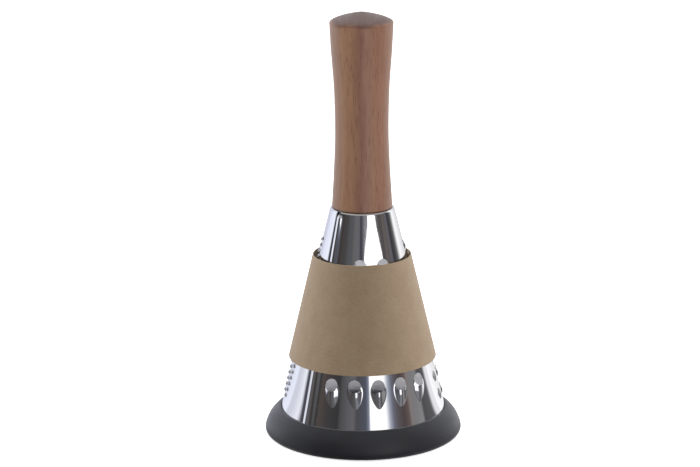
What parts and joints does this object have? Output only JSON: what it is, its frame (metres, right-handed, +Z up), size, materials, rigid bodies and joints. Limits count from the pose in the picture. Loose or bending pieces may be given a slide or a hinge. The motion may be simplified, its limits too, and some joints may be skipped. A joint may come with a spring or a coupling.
{
  "type": "hand grater",
  "caption": "Bell-shaped hand grater: punched steel cone in a rubber foot ring, turned wooden handle on top, loose card sleeve round the teeth.",
  "frame": {"origin": "on the ground under the middle of the foot ring", "axes": "+Z up along the handle, -Y towards the coarse teeth (the front), +X to the right seen from the front"},
  "size_m": [0.11, 0.11, 0.2386],
  "materials": {
    "polished_steel": "mirror-polished stainless sheet",
    "foot_rubber": "matte moulded black rubber",
    "handle_wood": "turned red-brown hardwood, lightly oiled",
    "plated_steel": "zinc-plated steel",
    "insert_brass": "turned brass",
    "kraft_card": "unbleached kraft card, matte"
  },
  "bodies": {
    "grater": {"grater_cone": "polished_steel", "rubber_foot": "foot_rubber", "wood_handle": "handle_wood", "top_plate": "plated_steel", "flat_washer": "plated_steel", "spring_washer": "plated_steel", "handle_screw": "plated_steel", "threaded_insert": "insert_brass"},
    "sleeve": {"paper_sleeve": "kraft_card"}
  },
  "joints": [
    {"name": "sleeve_lift", "type": "slide", "parent": "grater", "child": "sleeve", "axis": [0, 0, 1], "range_m": [0, 0.2]}
  ]
}
